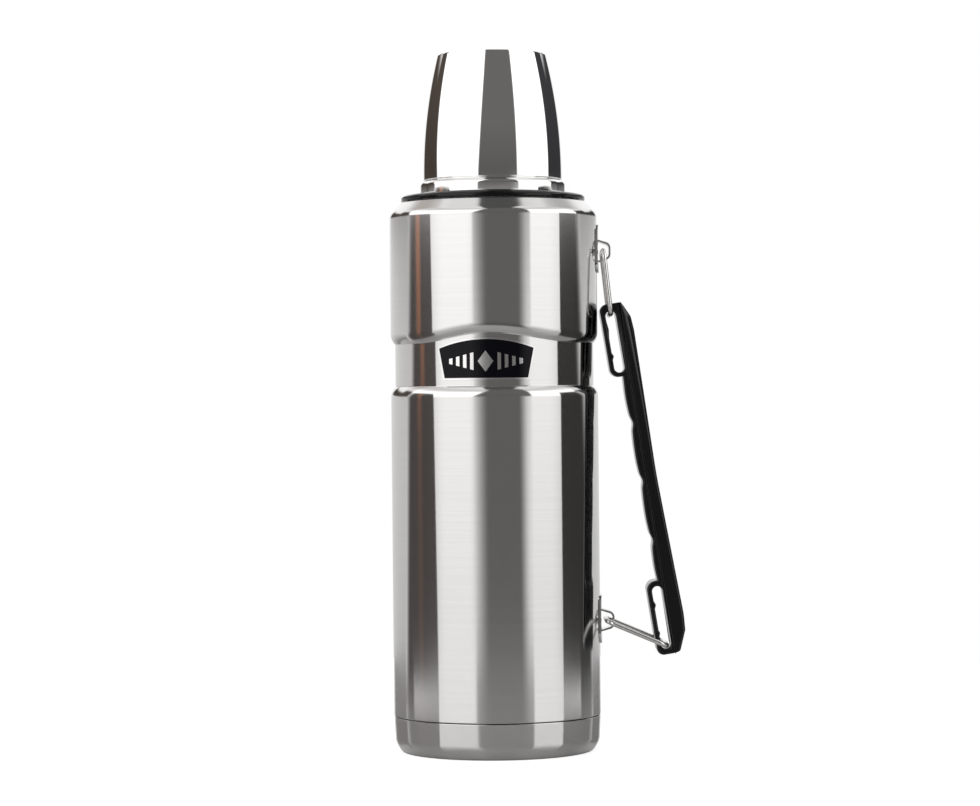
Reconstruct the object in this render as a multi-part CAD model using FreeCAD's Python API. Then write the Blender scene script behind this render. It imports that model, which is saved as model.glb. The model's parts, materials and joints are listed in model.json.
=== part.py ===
"""Double-wall steel vacuum flask with a cup lid, a screw stopper and a hinged carrying handle.

Millimetres. +Z runs up the flask's axis from the centre of its foot, and the handle hangs on the +X side.
Each function makes one separate piece, and main() writes one STEP file per piece.
"""
import FreeCAD, Part
import os
from math import atan2, cos, hypot, pi, radians, sin, tan

# Overall body
BODY_R = 46.0            # outer radius of the brushed body
WAIST_R = 44.0           # outer radius of the recessed waist that carries the badge
SHELL_WALL = 0.6
VESSEL_WALL = 0.5
SEAM_Z = 16.3            # the base cup ends just under this height
SEAM_GAP = 0.3
TUCK_R = 44.6            # outer radius of the shell where it is tucked inside the base cup
SHELL_FOOT_Z = 8.6
CLOSURE_Z = 10.2         # underside of the plate that closes the vacuum space
CLOSURE_TOP_Z = 10.8
GETTER_X = 16.0          # the getter stands on the closing plate, this far off the axis
GETTER_R = 5.5
WAIST_LOW_Z = 161.7
WAIST_HIGH_Z = 180.5
WAIST_EDGE_R = 6.4       # rounding of the full radius into the 45 degree edges of the waist
WAIST_CORNER_R = 0.3
SHOULDER_Z = 238.0
SHOULDER_EDGE_R = 2.8
SHOULDER_TOP_R = 41.0
SHOULDER_TOP_Z = 243.25

# Badge and the arch pressed into the shell over it
BADGE_AZIMUTH = -95.0    # degrees from +X
BADGE_LOW_Z = 164.5
BADGE_CORNER_Z = 178.4
BADGE_TOP_Z = 182.6
BADGE_HALF_LOW = 18.8
BADGE_HALF_HIGH = 21.2
BADGE_RIM = 0.7
BADGE_PROUD = 0.85       # how far the rim stands out of the waist
BADGE_FIELD = 0.4        # height of the badge's sunk field
ENAMEL_TOP = 0.75
MOTIF_BARS = 4           # bars on each side of the motif's diamond
ARCH_HALF = 34.0
ARCH_SIDE_Z = 182.4
ARCH_TOP_Z = 187.3

# Neck and threads
NECK_BORE_R = 22.5       # inside the inner vessel's neck
NECK_OUT_R = 24.1        # outside the outer shell's neck
NECK_TOP_Z = 262.0
LIP = 0.6                # thickness of the welded lip on top of the neck
LEDGE_R = 20.4           # the stopper's seal rests on this ledge inside the neck
LEDGE_Z = 239.5
VESSEL_R = 41.4          # inside the inner vessel
VESSEL_FLOOR_Z = 14.6
THREAD_LEAD = 6.0        # shared by the cup and the stopper
THREAD_ROOT = 2.2        # axial width of a thread ridge at its root
THREAD_CREST = 1.2

# Black collar round the neck, which the cup screws to
COLLAR_R = 40.8
COLLAR_LOW_Z = 243.75
COLLAR_TOP_Z = 246.35
BOSS_R = 26.3
BOSS_CREST_R = 27.2
BOSS_TOP_Z = 260.5
COLLAR_THREAD_Z = 252.2
COLLAR_THREAD_RISE = 6.6

# Cup
CUP_LOW_Z = 246.65
CUP_TOP_Z = 309.1
CUP_BEAD_R = 32.2
CUP_BEAD_TOP_Z = 252.4
CUP_GROOVE_R = 30.4
CUP_FOOT_R = 30.75       # radius where the cup's side starts, above its bead
CUP_BEND_R = 220.0       # radius of the bowed side, seen from the side
CUP_BEND_Z = 282.25
CUP_CROWN_R = 24.07      # radius of the side, carried on to the top
CUP_WALL = 0.6
CUP_INNER_R = 29.7
RING_R = 29.15
RING_CORE_R = 27.6
RING_CREST_R = 26.7

# Stopper
STOPPER_R = 21.2
STOPPER_CREST_R = 22.1
STOPPER_THREAD_Z = 247.0
STOPPER_THREAD_RISE = 9.0
STOPPER_LOW_Z = 238.0
STOPPER_NOSE_R = 18.7
FLANGE_R = 24.0
FLANGE_LOW_Z = 262.9
FLANGE_TOP_Z = 266.0
GUIDE_R = 4.0            # bore that the plunger's stem runs in
STEM_R = 3.92
KNOB_R = 23.0
KNOB_LOW_Z = 266.3
KNOB_TOP_Z = 281.0
KNOB_FLUTES = 18
PORT_COUNT = 4

# Handle, in the XZ plane: the pivots are (x, z)
UPPER_PIVOT = (48.5, 221.2)
LOWER_PIVOT = (48.8, 57.6)
LINK_LENGTH = 28.3
LINK_HALF_WIDTH = 12.5
LINK_BEND_R = 3.6
WIRE_R = 1.1
UPPER_HANG = 6.1         # degrees of the upper link from straight down
LOWER_DROP = 22.9        # degrees of the lower link below level
BRACKET_HEIGHT = 21.6
BRACKET_HALF_WIDTH = 8.0
BRACKET_PLATE = 0.8
BRACKET_CORNER_R = 4.5
UPPER_RISE = 1.2         # each plate's centre is this far above its pivot
LOWER_RISE = 0.6
WELD_R = 1.3             # spot welds, sunk in the plate above and below the strap
WELD_SUNK = 0.25
WELD_EDGE = 2.4
STRAP_HALF_WIDTH = 5.0   # the strap pressed out of the plate, which the link's wire turns in
STRAP_REACH = 3.4        # from the pivot to the strap's nose
STRAP_HALF_HEIGHT = 4.9
STRAP_THICKNESS = 0.8
SLOT_HALF = 2.3
UPPER_SLOT = (-1.5, 26.1)
LOWER_SLOT = (122.0, 150.2)
SLOT_BUMPS = (6.6, 18.6, 130.0)
BUMP_R = 1.1
GRIP_TOP = -4.6
GRIP_LOW = 152.4
GRIP_OUT = 9.9           # the grip's outermost point, from the slots' centre line
LOOP_EDGE = -4.4         # inner edge of the two end loops, from the slots' centre line
UPPER_LOOP_END = 28.0
LOWER_LOOP_END = 119.5
SPLIT_TOP = 4.7          # the joint between the grip's two halves, at its two ends
SPLIT_LOW = 2.8
FINGER_NOTCHES = (49.0, 75.0, 101.5)
FINGER_RIDGE = 0.5
FINGER_NOTCH = 1.8
CORE_HALF_WIDTH = 9.6
COVER_HALF_WIDTH = 10.3
WAIST_HALF_WIDTH = 9.0
COVER_ROUNDING = 3.2
CORE_ROUNDING = 1.6

TINY = 1e-6
UP = FreeCAD.Vector(0, 0, 1)
ORIGIN = FreeCAD.Vector(0, 0, 0)


# ---- outlines and basic solids ----

def in_section(r, z):
    """Point of a turned piece's section."""
    return FreeCAD.Vector(r, 0, z)


def unit(a, b):
    """Unit vector from point a to point b, and the distance."""
    length = hypot(b[0] - a[0], b[1] - a[1])
    return (b[0] - a[0]) / length, (b[1] - a[1]) / length, length


def corner_points(before, corner, after):
    """Start, middle and end of the arc that rounds a corner (a, b, radius)."""
    radius = corner[2] if len(corner) > 2 else 0
    if not radius:
        return [(corner[0], corner[1])]
    back = unit(corner, before)
    ahead = unit(corner, after)
    half = atan2(abs(back[0] * ahead[1] - back[1] * ahead[0]), back[0] * ahead[0] + back[1] * ahead[1]) / 2
    reach = radius / tan(half)
    middle = radius / sin(half) - radius
    way = hypot(back[0] + ahead[0], back[1] + ahead[1])
    return [
        (corner[0] + back[0] * reach, corner[1] + back[1] * reach),
        (corner[0] + (back[0] + ahead[0]) / way * middle, corner[1] + (back[1] + ahead[1]) / way * middle),
        (corner[0] + ahead[0] * reach, corner[1] + ahead[1] * reach),
    ]


def outline(corners, place=in_section):
    """Closed wire through corners (a, b) or (a, b, rounding radius), put in space by place(a, b)."""
    count = len(corners)
    rounded = [corner_points(corners[i - 1], corners[i], corners[(i + 1) % count]) for i in range(count)]
    edges = []
    for i in range(count):
        points = [place(*p) for p in rounded[i]]
        if len(points) == 3:
            edges.append(Part.Arc(*points).toShape())
        following = place(*rounded[(i + 1) % count][0])
        if (following - points[-1]).Length > TINY:
            edges.append(Part.LineSegment(points[-1], following).toShape())
    return Part.Wire(edges)


def turned(corners):
    """Solid of revolution about Z."""
    return Part.Face(outline(corners)).revolve(ORIGIN, UP, 360)


def disc(r, low, high):
    """Plain round solid on the axis."""
    return Part.makeCylinder(r, high - low, FreeCAD.Vector(0, 0, low))


def ring(r_in, r_out, low, high):
    """Plain tube on the axis."""
    return disc(r_out, low, high).cut(disc(r_in, low - 1, high + 1))


def thread_ridge(root_r, crest_r, low_z, rise, start_angle):
    """Helical ridge from root_r to crest_r, whose middle starts at low_z and climbs by rise."""
    path = Part.Wire(Part.makeHelix(THREAD_LEAD, rise, root_r))
    corners = [
        (root_r, -THREAD_ROOT / 2),
        (root_r, THREAD_ROOT / 2),
        (crest_r, THREAD_CREST / 2),
        (crest_r, -THREAD_CREST / 2),
    ]
    ridge = path.makePipeShell([outline(corners)], True, True)
    ridge.rotate(ORIGIN, UP, start_angle)
    ridge.translate(FreeCAD.Vector(0, 0, low_z))
    return ridge


# ---- the body ----

def shell_section(inset):
    """Corners of the shell's section, drawn in by inset, from its open foot to its open neck."""
    step = BODY_R - WAIST_R
    lean = inset * tan(radians(22.5))
    edge_r = WAIST_EDGE_R - inset
    corner_r = WAIST_CORNER_R + inset
    return [
        (0, SHELL_FOOT_Z - inset),
        (TUCK_R - inset, SHELL_FOOT_Z - inset),
        (TUCK_R - inset, SEAM_Z),
        (BODY_R - inset, SEAM_Z + 0.2, 0.15),
        (BODY_R - inset, WAIST_LOW_Z - step - lean, edge_r),
        (WAIST_R - inset, WAIST_LOW_Z - lean, corner_r),
        (WAIST_R - inset, WAIST_HIGH_Z + lean, corner_r),
        (BODY_R - inset, WAIST_HIGH_Z + step + lean, edge_r),
        (BODY_R - inset, SHOULDER_Z, SHOULDER_EDGE_R),
        (SHOULDER_TOP_R - inset, SHOULDER_TOP_Z - inset, 1.0),
        (NECK_OUT_R - inset, SHOULDER_TOP_Z - inset),
        (NECK_OUT_R - inset, NECK_TOP_Z + inset),
        (0, NECK_TOP_Z + inset),
    ]


def facing_badge(x, z):
    """Point of the upright plane through the axis that faces the badge, x to its right."""
    return FreeCAD.Vector(x, 0, z)


def towards_badge(shape):
    """Turns a shape drawn facing -Y so that it faces the badge's side."""
    shape.rotate(ORIGIN, UP, BADGE_AZIMUTH + 90)
    return shape


def badge_side_prism(wire):
    """Straight prism from the axis outwards on the badge's side."""
    return towards_badge(Part.Face(wire).extrude(FreeCAD.Vector(0, -BODY_R - 5, 0)))


def arched_wire(half_low, low_z, half_high, side_z, top_z):
    """Outline facing the badge's side, with a flat bottom, straight sides and an arched top."""
    corners = [
        facing_badge(-half_high, side_z),
        facing_badge(-half_low, low_z),
        facing_badge(half_low, low_z),
        facing_badge(half_high, side_z),
    ]
    edges = [Part.LineSegment(a, b).toShape() for a, b in zip(corners, corners[1:])]
    edges.append(Part.Arc(corners[-1], facing_badge(0, top_z), corners[0]).toShape())
    return Part.Wire(edges)


def arch_recess(inset):
    """What the pressed arch takes out of the body above the waist."""
    half = ARCH_HALF + inset
    wire = arched_wire(half, WAIST_HIGH_Z - 5, half, ARCH_SIDE_Z + inset, ARCH_TOP_Z + inset)
    band = ring(WAIST_R - inset, BODY_R + 1, WAIST_HIGH_Z - 6, ARCH_TOP_Z + 5)
    return badge_side_prism(wire).common(band)


def make_outer_shell():
    outside = turned(shell_section(0)).cut(arch_recess(0))
    inside = turned(shell_section(SHELL_WALL)).cut(arch_recess(SHELL_WALL))
    return outside.cut(inside)


def make_inner_vessel():
    bore = NECK_BORE_R + VESSEL_WALL
    bottle = turned([
        (0, VESSEL_FLOOR_Z - VESSEL_WALL),
        (VESSEL_R + VESSEL_WALL, VESSEL_FLOOR_Z - VESSEL_WALL, 8.5),
        (VESSEL_R + VESSEL_WALL, 230.4, 8.5),
        (bore, 238.6, 1.0),
        (bore, NECK_TOP_Z),
        (NECK_OUT_R, NECK_TOP_Z),
        (NECK_OUT_R, NECK_TOP_Z + LIP),
        (0, NECK_TOP_Z + LIP),
    ])
    hollow = turned([
        (0, VESSEL_FLOOR_Z),
        (VESSEL_R, VESSEL_FLOOR_Z, 8.0),
        (VESSEL_R, 230.0, 8.0),
        (LEDGE_R, 238.6, 0.3),
        (LEDGE_R, LEDGE_Z, 0.3),
        (NECK_BORE_R, LEDGE_Z),
        (NECK_BORE_R, NECK_TOP_Z + 2),
        (0, NECK_TOP_Z + 2),
    ])
    root = NECK_BORE_R + VESSEL_WALL / 2
    crest = STOPPER_CREST_R - 0.5
    thread = thread_ridge(root, crest, STOPPER_THREAD_Z, STOPPER_THREAD_RISE, 0)
    return bottle.cut(hollow).fuse(thread)


def make_copper_foil():
    return ring(VESSEL_R + 0.8, VESSEL_R + 0.95, 26.0, 218.0)


def make_closure_plate():
    rim_r = TUCK_R - SHELL_WALL
    return turned([
        (2.0, CLOSURE_Z),
        (rim_r - 0.7, CLOSURE_Z, 0.4),
        (rim_r - 0.7, SHELL_FOOT_Z),
        (rim_r, SHELL_FOOT_Z),
        (rim_r, CLOSURE_TOP_Z, 0.8),
        (2.0, CLOSURE_TOP_Z),
    ])


def make_vacuum_plug():
    low = CLOSURE_Z - 1.0
    return turned([
        (0, low),
        (2.6, low, 0.4),
        (2.6, CLOSURE_Z),
        (1.9, CLOSURE_Z),
        (1.9, CLOSURE_TOP_Z),
        (0, CLOSURE_TOP_Z),
    ])


def make_getter_holder():
    low = CLOSURE_TOP_Z
    holder = ring(GETTER_R + 0.1, 6.1, low, low + 2.2).fuse(ring(GETTER_R + 0.1, 8.6, low, low + 0.4))
    holder.translate(FreeCAD.Vector(GETTER_X, 0, 0))
    return holder


def make_getter_pill():
    pill = disc(GETTER_R, CLOSURE_TOP_Z + 0.1, CLOSURE_TOP_Z + 2.0)
    pill.translate(FreeCAD.Vector(GETTER_X, 0, 0))
    return pill


def make_base_cup():
    top = SEAM_Z - SEAM_GAP
    return turned([
        (0, 1.8),
        (33.0, 1.8, 1.0),
        (35.5, 0, 1.0),
        (41.8, 0, 1.6),
        (44.9, 5.6, 6.0),
        (BODY_R - 0.15, top, 0.2),
        (TUCK_R + 0.05, top),
        (TUCK_R + 0.05, 8.4),
        (44.1, 5.8, 5.0),
        (41.4, 0.7, 1.2),
        (36.2, 0.7, 0.6),
        (33.6, 2.5, 0.6),
        (0, 2.5),
    ])


def make_collar_gasket():
    return ring(30.0, 38.0, SHOULDER_TOP_Z, COLLAR_LOW_Z)


def make_neck_collar():
    bore = NECK_OUT_R + 0.05
    collar = turned([
        (bore, COLLAR_LOW_Z),
        (COLLAR_R, COLLAR_LOW_Z, 0.5),
        (COLLAR_R, COLLAR_TOP_Z - 0.7, 0.9),
        (COLLAR_R - 1.4, COLLAR_TOP_Z, 0.3),
        (34.6, COLLAR_TOP_Z, 0.3),
        (34.2, COLLAR_TOP_Z - 0.8, 0.3),
        (BOSS_R, COLLAR_TOP_Z - 0.8, 0.5),
        (BOSS_R, BOSS_TOP_Z, 0.6),
        (bore, BOSS_TOP_Z),
    ])
    return collar.fuse(thread_ridge(BOSS_R - 0.3, BOSS_CREST_R, COLLAR_THREAD_Z, COLLAR_THREAD_RISE, 0))


# ---- the badge ----

def badge_patch(inset, r_in, r_out):
    """Part of a tube with the badge's outline, drawn in by inset."""
    wire = arched_wire(
        BADGE_HALF_LOW - inset, BADGE_LOW_Z + inset,
        BADGE_HALF_HIGH - inset, BADGE_CORNER_Z - inset / 2, BADGE_TOP_Z - inset,
    )
    tube = ring(r_in, r_out, BADGE_LOW_Z - 5, BADGE_TOP_Z + 5)
    return badge_side_prism(wire).common(tube)


def badge_motif():
    """Prisms of a plain pattern: a diamond between bars that shorten outwards."""
    middle_z = (BADGE_LOW_Z + BADGE_CORNER_Z) / 2 + 1.0
    corners = [(0, middle_z - 4.6), (3.4, middle_z), (0, middle_z + 4.6), (-3.4, middle_z)]
    prisms = [badge_side_prism(outline(corners, facing_badge))]
    for step in range(MOTIF_BARS):
        x = 5.2 + 3.1 * step
        half = 3.8 - 0.8 * step
        for side in (-1, 1):
            bar = [
                (side * x, middle_z - half),
                (side * (x + 1.5), middle_z - half + 0.35),
                (side * (x + 1.5), middle_z + half - 0.35),
                (side * x, middle_z + half),
            ]
            prisms.append(badge_side_prism(outline(bar, facing_badge)))
    return prisms


def make_badge_plate():
    plate = badge_patch(0, WAIST_R, WAIST_R + BADGE_PROUD)
    field = badge_patch(BADGE_RIM, WAIST_R + BADGE_FIELD, BODY_R)
    raised = ring(WAIST_R + BADGE_FIELD - 0.1, WAIST_R + ENAMEL_TOP, BADGE_LOW_Z, BADGE_TOP_Z)
    return plate.cut(field).fuse([prism.common(raised) for prism in badge_motif()])


def make_badge_enamel():
    enamel = badge_patch(BADGE_RIM, WAIST_R + BADGE_FIELD, WAIST_R + ENAMEL_TOP)
    return enamel.cut(badge_motif())


# ---- the cup ----

def make_cup_outer():
    wall = CUP_WALL
    inner_r = CUP_INNER_R + 0.05
    groove_low = CUP_BEAD_TOP_Z + 0.6
    groove_high = groove_low + 0.7
    dish_z = CUP_TOP_Z - 0.8
    return turned([
        (inner_r, CUP_LOW_Z),
        (CUP_BEAD_R, CUP_LOW_Z, 0.5),
        (CUP_BEAD_R, CUP_BEAD_TOP_Z, 2.0),
        (CUP_GROOVE_R, groove_low, 0.3),
        (CUP_GROOVE_R, groove_high, 0.3),
        (CUP_FOOT_R, groove_high + 0.4, 0.2),
        (CUP_FOOT_R, CUP_BEND_Z, CUP_BEND_R),
        (CUP_CROWN_R, CUP_TOP_Z, 3.0),
        (20.0, CUP_TOP_Z, 0.4),
        (19.2, dish_z, 0.4),
        (0, dish_z),
        (0, dish_z - wall),
        (19.6, dish_z - wall, 0.3),
        (20.4, CUP_TOP_Z - wall, 0.3),
        (CUP_CROWN_R - wall, CUP_TOP_Z - wall, 2.4),
        (CUP_FOOT_R - wall, CUP_BEND_Z, CUP_BEND_R - wall),
        (CUP_FOOT_R - wall, groove_high + 0.2),
        (CUP_GROOVE_R - wall, groove_high - 0.2),
        (CUP_GROOVE_R - wall, groove_low - 0.3),
        (CUP_BEAD_R - wall, CUP_BEAD_TOP_Z - 0.7, 1.3),
        (CUP_BEAD_R - wall, CUP_LOW_Z + wall),
        (inner_r, CUP_LOW_Z + wall),
    ])


def make_cup_inner():
    wall = VESSEL_WALL
    side_r = 28.4
    crown_r = 22.4
    step_low = 262.6
    step_high = 265.0
    bend_z = 284.0
    bend_r = 115.0
    top = CUP_TOP_Z - 3.1
    return turned([
        (CUP_INNER_R - wall, CUP_LOW_Z),
        (CUP_INNER_R, CUP_LOW_Z),
        (CUP_INNER_R, step_low, 0.8),
        (side_r, step_high, 0.8),
        (side_r, bend_z, bend_r),
        (crown_r, top, 5.0),
        (0, top),
        (0, top - wall),
        (crown_r - wall, top - wall, 4.5),
        (side_r - wall, bend_z, bend_r),
        (side_r - wall, step_high - 0.2, 0.8),
        (CUP_INNER_R - wall, step_low - 0.2, 0.8),
    ])


def make_cup_thread_ring():
    low = CUP_LOW_Z + 0.4
    high = BOSS_TOP_Z + 1.6
    sleeve = turned([
        (RING_CORE_R, low, 0.4),
        (RING_R, low),
        (RING_R, high),
        (RING_CORE_R, high),
    ])
    thread = thread_ridge(RING_CORE_R + 0.3, RING_CREST_R, COLLAR_THREAD_Z, COLLAR_THREAD_RISE, 180)
    return sleeve.fuse(thread)


def make_cup_seal():
    low = BOSS_TOP_Z + 0.1
    high = BOSS_TOP_Z + 1.5
    outer = RING_CORE_R - 0.1
    inner = outer - 2.7
    return turned([(inner, low, 0.3), (outer, low, 0.3), (outer, high, 0.3), (inner, high, 0.3)])


# ---- the stopper ----

def make_stopper_body():
    cavity_r = 17.5
    guide_wall_r = 6.4
    floor_z = 240.4
    roof_z = 262.0
    body = turned([
        (GUIDE_R, STOPPER_LOW_Z + 0.6),
        (guide_wall_r, STOPPER_LOW_Z + 0.6),
        (guide_wall_r, roof_z),
        (cavity_r, roof_z),
        (cavity_r, STOPPER_LOW_Z + 0.6),
        (STOPPER_NOSE_R, STOPPER_LOW_Z + 0.6),
        (STOPPER_NOSE_R, 241.8),
        (STOPPER_R, 241.8, 0.4),
        (STOPPER_R, FLANGE_LOW_Z),
        (FLANGE_R, FLANGE_LOW_Z, 0.5),
        (FLANGE_R, FLANGE_TOP_Z, 0.8),
        (13.0, FLANGE_TOP_Z),
        (13.0, 271.0, 0.5),
        (GUIDE_R, 271.0),
    ])
    thread = thread_ridge(STOPPER_R - 0.3, STOPPER_CREST_R, STOPPER_THREAD_Z, STOPPER_THREAD_RISE, 180)
    o_ring_groove = ring(GUIDE_R - 1, 5.4, floor_z + 15.0, floor_z + 16.5)
    spout = Part.makeCylinder(1.4, 22, FreeCAD.Vector(8, 0, 264.4), FreeCAD.Vector(1, 0, 0))
    drop = Part.makeCylinder(1.4, 5, FreeCAD.Vector(8.4, 0, 260.0))
    return body.fuse(thread).cut([o_ring_groove, spout, drop])


def make_stopper_foam():
    return ring(9.8, 17.4, 240.2, 261.8)


def make_stopper_cap():
    cap = ring(6.5, STOPPER_NOSE_R - 1.25, STOPPER_LOW_Z, 240.0)
    ports = []
    for i in range(PORT_COUNT):
        angle = radians(45 + 360 * i / PORT_COUNT)
        ports.append(Part.makeCylinder(1.2, 4, FreeCAD.Vector(8.2 * cos(angle), 8.2 * sin(angle), 237)))
    return cap.cut(ports)


def make_stopper_seal():
    low = LEDGE_Z + 0.1
    inner = STOPPER_NOSE_R + 0.05
    return turned([(inner, low, 0.4), (21.3, low, 0.6), (21.3, low + 2.0, 0.6), (inner, low + 2.0, 0.4)])


def make_stem_o_ring():
    return Part.makeTorus(4.62, 0.66, FreeCAD.Vector(0, 0, 256.15))


def make_plunger():
    return turned([
        (0, 234.6),
        (11.0, 234.6, 0.8),
        (11.0, 236.6, 0.5),
        (STEM_R, 236.6),
        (STEM_R, 275.4, 0.6),
        (0, 275.4),
    ])


def make_plunger_seal():
    return turned([(4.4, 236.6), (10.4, 236.6, 0.4), (10.4, 237.9, 0.5), (4.4, 237.9)])


def make_stopper_knob():
    knob = turned([
        (13.08, KNOB_LOW_Z),
        (KNOB_R, KNOB_LOW_Z, 0.6),
        (KNOB_R, KNOB_TOP_Z - 0.6, 2.0),
        (17.0, KNOB_TOP_Z, 0.4),
        (16.6, KNOB_TOP_Z - 1.0),
        (0, KNOB_TOP_Z - 1.0),
        (0, 276.0),
        (STEM_R + 0.08, 276.0),
        (STEM_R + 0.08, 271.4),
        (13.08, 271.4),
    ])
    flutes = []
    for i in range(KNOB_FLUTES):
        angle = 2 * pi * i / KNOB_FLUTES
        centre = FreeCAD.Vector((KNOB_R + 1.6) * cos(angle), (KNOB_R + 1.6) * sin(angle), KNOB_LOW_Z + 1.5)
        flutes.append(Part.makeCylinder(2.6, KNOB_TOP_Z, centre))
    return knob.cut(flutes)


def make_knob_cap():
    low = KNOB_TOP_Z - 1.0
    return turned([(0, low), (16.5, low), (16.5, KNOB_TOP_Z + 0.2, 0.6), (0, KNOB_TOP_Z + 0.5)])


# ---- the handle ----

def in_handle_plane(x, z):
    """Point of the handle's middle plane."""
    return FreeCAD.Vector(x, 0, z)


def link_end(pivot, angle):
    """Where a link that leans by angle degrees from straight down ends, as (x, z)."""
    return pivot[0] + LINK_LENGTH * sin(radians(angle)), pivot[1] - LINK_LENGTH * cos(radians(angle))


UPPER_END = link_end(UPPER_PIVOT, UPPER_HANG)
LOWER_END = link_end(LOWER_PIVOT, 90 - LOWER_DROP)
GRIP_DOWN = unit(UPPER_END, LOWER_END)


def on_grip(u, v):
    """Point of the grip: u down from the upper link's wire, v out from the slots' centre line."""
    down_x, down_z = GRIP_DOWN[:2]
    return FreeCAD.Vector(UPPER_END[0] + u * down_x - v * down_z, 0, UPPER_END[1] + u * down_z + v * down_x)


def across(wire, half_width):
    """Solid between y = -half_width and +half_width whose section is the wire."""
    face = Part.Face(wire)
    face.translate(FreeCAD.Vector(0, -half_width, 0))
    return face.extrude(FreeCAD.Vector(0, 2 * half_width, 0))


def strap_outline(pivot, inset):
    """Side view of the strap on a bracket, drawn in by inset, open towards the flask's axis."""
    x, z = pivot
    foot_r = BODY_R + BRACKET_PLATE
    nose_r = x + STRAP_REACH - inset
    half = STRAP_HALF_HEIGHT - inset
    nose_half = STRAP_REACH - inset
    corners = [
        (BODY_R - 2, z - half - 1.5),
        (foot_r, z - half, 1.0),
        (nose_r, z - nose_half, nose_half * 0.8),
        (nose_r, z + nose_half, nose_half * 0.8),
        (foot_r, z + half, 1.0),
        (BODY_R - 2, z + half + 1.5),
    ]
    return outline(corners, in_handle_plane)


def make_bracket(pivot, rise):
    """Stamped plate on the shell, with a strap pressed out of it that the link's wire turns in."""
    middle_z = pivot[1] + rise
    high = BRACKET_HEIGHT / 2
    corners = [
        (-BRACKET_HALF_WIDTH, middle_z - high, BRACKET_CORNER_R),
        (BRACKET_HALF_WIDTH, middle_z - high, BRACKET_CORNER_R),
        (BRACKET_HALF_WIDTH, middle_z + high, BRACKET_CORNER_R),
        (-BRACKET_HALF_WIDTH, middle_z + high, BRACKET_CORNER_R),
    ]
    wire = outline(corners, lambda y, height: FreeCAD.Vector(BODY_R - 5, y, height))
    prism = Part.Face(wire).extrude(FreeCAD.Vector(10, 0, 0))
    plate = prism.common(ring(BODY_R, BODY_R + BRACKET_PLATE, middle_z - high - 2, middle_z + high + 2))
    strap = across(strap_outline(pivot, 0), STRAP_HALF_WIDTH)
    opening = across(strap_outline(pivot, STRAP_THICKNESS), STRAP_HALF_WIDTH + 1)
    bracket = plate.fuse(strap).cut([opening, disc(BODY_R, pivot[1] - 20, pivot[1] + 20)])
    welds = []
    for side in (-1, 1):
        spot = FreeCAD.Vector(BODY_R + BRACKET_PLATE - WELD_SUNK, 0, middle_z + side * (high - WELD_EDGE))
        welds.append(Part.makeCylinder(WELD_R, 3, spot, FreeCAD.Vector(1, 0, 0)))
    return bracket.cut(welds)


def make_link(pivot, end):
    """Closed loop of round wire: one bar turns in the bracket, the other runs in the grip's slot."""
    along = unit(pivot, end)

    def in_loop(y, reach):
        return FreeCAD.Vector(pivot[0] + reach * along[0], y, pivot[1] + reach * along[1])

    corners = [
        (-LINK_HALF_WIDTH, 0, LINK_BEND_R),
        (-LINK_HALF_WIDTH, LINK_LENGTH, LINK_BEND_R),
        (LINK_HALF_WIDTH, LINK_LENGTH, LINK_BEND_R),
        (LINK_HALF_WIDTH, 0, LINK_BEND_R),
    ]
    path = outline(corners, in_loop)
    start = path.Edges[0].firstVertex(True).Point
    way = path.Edges[0].tangentAt(path.Edges[0].FirstParameter)
    wire = Part.Wire(Part.makeCircle(WIRE_R, start, way))
    return path.makePipeShell([wire], True, False)


def slot_prism(ends):
    """Round-ended slot through the grip."""
    low, high = ends
    corners = [
        (low, -SLOT_HALF, SLOT_HALF * 0.999),
        (high, -SLOT_HALF, SLOT_HALF * 0.999),
        (high, SLOT_HALF, SLOT_HALF * 0.999),
        (low, SLOT_HALF, SLOT_HALF * 0.999),
    ]
    return across(outline(corners, on_grip), 20)


def grip_plan(half_end, half_middle):
    """Solid that narrows the grip towards its middle, seen from the front."""
    middle = (GRIP_TOP + GRIP_LOW) / 2
    ends = [GRIP_TOP - 1, middle, GRIP_LOW + 1]
    inner = on_grip(0, -10)
    shift = inner - on_grip(0, 0)
    points = []
    for side in (-1, 1):
        line = []
        for u, half in zip(ends, (half_end, half_middle, half_end)):
            line.append(on_grip(u, 0) + shift + FreeCAD.Vector(0, side * half, 0))
        points.append(line)
    left = Part.Arc(*points[0]).toShape()
    right = Part.Arc(*points[1]).toShape()
    top = Part.LineSegment(points[0][0], points[1][0]).toShape()
    low = Part.LineSegment(points[0][2], points[1][2]).toShape()
    face = Part.Face(Part.Wire(Part.__sortEdges__([left, low, right, top])))
    return face.extrude(on_grip(0, 14) - inner)


def grip_bar(half_width, inner_v, outer_v, inner_radius, outer_radius):
    """Straight bar along the grip whose section is a rectangle with rounded inner and outer corners."""
    start = on_grip(GRIP_TOP - 1, 0)
    out = on_grip(GRIP_TOP - 1, 1) - start

    def in_bar(y, v):
        return start + out * v + FreeCAD.Vector(0, y, 0)

    corners = [
        (-half_width, inner_v, inner_radius),
        (half_width, inner_v, inner_radius),
        (half_width, outer_v, outer_radius),
        (-half_width, outer_v, outer_radius),
    ]
    return Part.Face(outline(corners, in_bar)).extrude(on_grip(GRIP_LOW + 1, 0) - start)


def finger_edge():
    """Wavy edge under the fingers, from the upper loop to the lower one."""
    points = [(UPPER_LOOP_END, 0.9)]
    for notch in FINGER_NOTCHES:
        points += [(notch - 12, FINGER_RIDGE), (notch - 3.6, FINGER_RIDGE + 0.4)]
        points += [(notch, FINGER_NOTCH), (notch + 3.6, FINGER_RIDGE + 0.5)]
    points += [(FINGER_NOTCHES[-1] + 12, FINGER_RIDGE + 0.1), (LOWER_LOOP_END, 0.9)]
    curve = Part.BSplineCurve()
    curve.interpolate([on_grip(*p) for p in points])
    return curve.toShape()


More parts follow.
